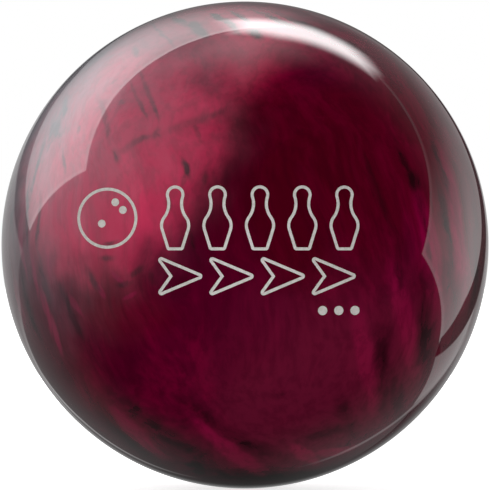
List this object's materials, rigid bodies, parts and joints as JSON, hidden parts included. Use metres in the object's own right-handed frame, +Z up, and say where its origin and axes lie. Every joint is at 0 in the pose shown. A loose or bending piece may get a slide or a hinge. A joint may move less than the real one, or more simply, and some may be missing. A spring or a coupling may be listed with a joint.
{
  "type": "bowling ball",
  "caption": "Undrilled ten-pin bowling ball: gloss pearl cover over a filler core and a dense weight block, with a locator pin and an engraved emblem.",
  "frame": {"origin": "the ball's centre", "axes": "+Z up the pin axis, out through the locator pin; -Y out through the middle of the engraved emblem; +X to the emblem's right"},
  "size_m": [0.2179, 0.218, 0.218],
  "materials": {
    "cover_resin": "polished",
    "filler_resin": "matte",
    "block_resin": "matte",
    "pin_resin": "polished",
    "emblem_paint": "satin"
  },
  "bodies": {
    "root": {"coverstock": "cover_resin", "outer_core": "filler_resin", "weight_block": "block_resin", "locator_pin": "pin_resin", "emblem_ball": "emblem_paint", "emblem_tenpins": "emblem_paint", "emblem_arrows": "emblem_paint", "emblem_dots": "emblem_paint", "balance_mark": "emblem_paint"}
  },
  "joints": []
}
